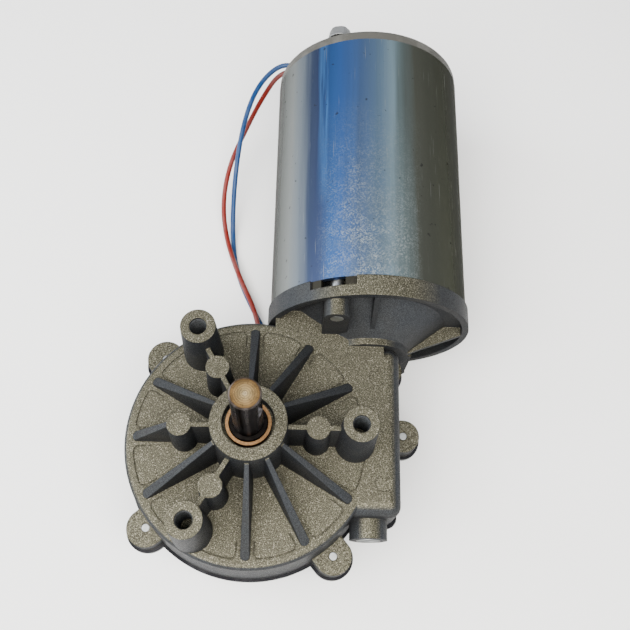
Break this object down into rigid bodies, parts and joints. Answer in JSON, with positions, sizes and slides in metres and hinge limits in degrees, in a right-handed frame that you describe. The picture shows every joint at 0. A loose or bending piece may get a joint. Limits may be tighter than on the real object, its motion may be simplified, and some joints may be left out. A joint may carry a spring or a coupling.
{
  "type": "electric gear motor",
  "caption": "Direct-current electric motor with a worm gearbox in a ribbed cast case, a plain output shaft at right angles to the motor tube, and two free leads.",
  "frame": {"origin": "centre of the circle of mounting bosses, in the plane of their faces, on the output shaft axis", "axes": "+Z out along the free end of the output shaft, +Y along the motor tube towards its end cap, +X from the output shaft towards the motor axis"},
  "size_m": [0.1323, 0.2282, 0.1124],
  "materials": {
    "cast_aluminium": "as die cast, fine matt grain",
    "zinc_steel": "bright zinc plate with soft streaks",
    "cap_steel": "dark grey coated steel",
    "black_cover": "black coated steel",
    "shaft_steel": "ground and turned steel",
    "bolt_steel": "zinc plated",
    "bronze": "sintered bronze",
    "gear_plastic": "moulded acetal",
    "copper": "enamelled copper",
    "lamination_steel": "punched electrical steel",
    "ferrite": "sintered ferrite",
    "carbon": "pressed carbon",
    "insulator": "laminated insulating board",
    "rubber_black": "moulded rubber",
    "gasket_paper": "pressed fibre",
    "blue_pvc": "soft vinyl",
    "red_pvc": "soft vinyl",
    "tinned_brass": "tinned"
  },
  "bodies": {
    "housing": {"gear_housing": "cast_aluminium", "cover_gasket": "gasket_paper", "rear_cover": "black_cover", "cover_screws": "bolt_steel", "upper_bush": "bronze", "lower_bush": "bronze", "shaft_seal": "rubber_black", "bearing_outer_race": "bolt_steel", "bearing_balls": "bolt_steel", "bearing_clip": "shaft_steel", "worm_end_bush": "bronze", "thrust_plug": "bolt_steel", "thrust_ball": "bolt_steel", "motor_can": "zinc_steel", "left_magnet": "ferrite", "right_magnet": "ferrite", "magnet_clips": "shaft_steel", "end_cap": "cap_steel", "tie_bolts": "bolt_steel", "tie_washers": "bolt_steel", "rear_bush": "bronze", "bush_retainer": "shaft_steel", "brush_plate": "insulator", "left_brush": "carbon", "right_brush": "carbon", "left_brush_holder": "tinned_brass", "right_brush_holder": "tinned_brass", "left_brush_spring": "shaft_steel", "right_brush_spring": "shaft_steel", "lead_grommet": "rubber_black", "blue_lead": "blue_pvc", "red_lead": "red_pvc", "blue_terminal": "tinned_brass", "red_terminal": "tinned_brass"},
    "armature": {"worm_shaft": "shaft_steel", "lamination_stack": "lamination_steel", "armature_windings": "copper", "commutator": "copper", "bearing_inner_race": "bolt_steel"},
    "output": {"output_shaft": "shaft_steel", "circlip": "shaft_steel", "upper_thrust_washer": "shaft_steel", "lower_thrust_washer": "shaft_steel", "wheel_hub": "shaft_steel", "worm_wheel": "gear_plastic"}
  },
  "joints": [
    {"name": "armature_spin", "type": "hinge", "parent": "housing", "child": "armature", "pos_m": [0.0435, 0.1, -0.041], "axis": [0, 1, 0], "continuous": true},
    {"name": "output_spin", "type": "hinge", "parent": "housing", "child": "output", "pos_m": [0, 0, 0], "axis": [0, 0, 1], "continuous": true}
  ],
  "couplings": [
    {"joint": "output_spin", "follows": "armature_spin", "ratio": -0.02}
  ]
}
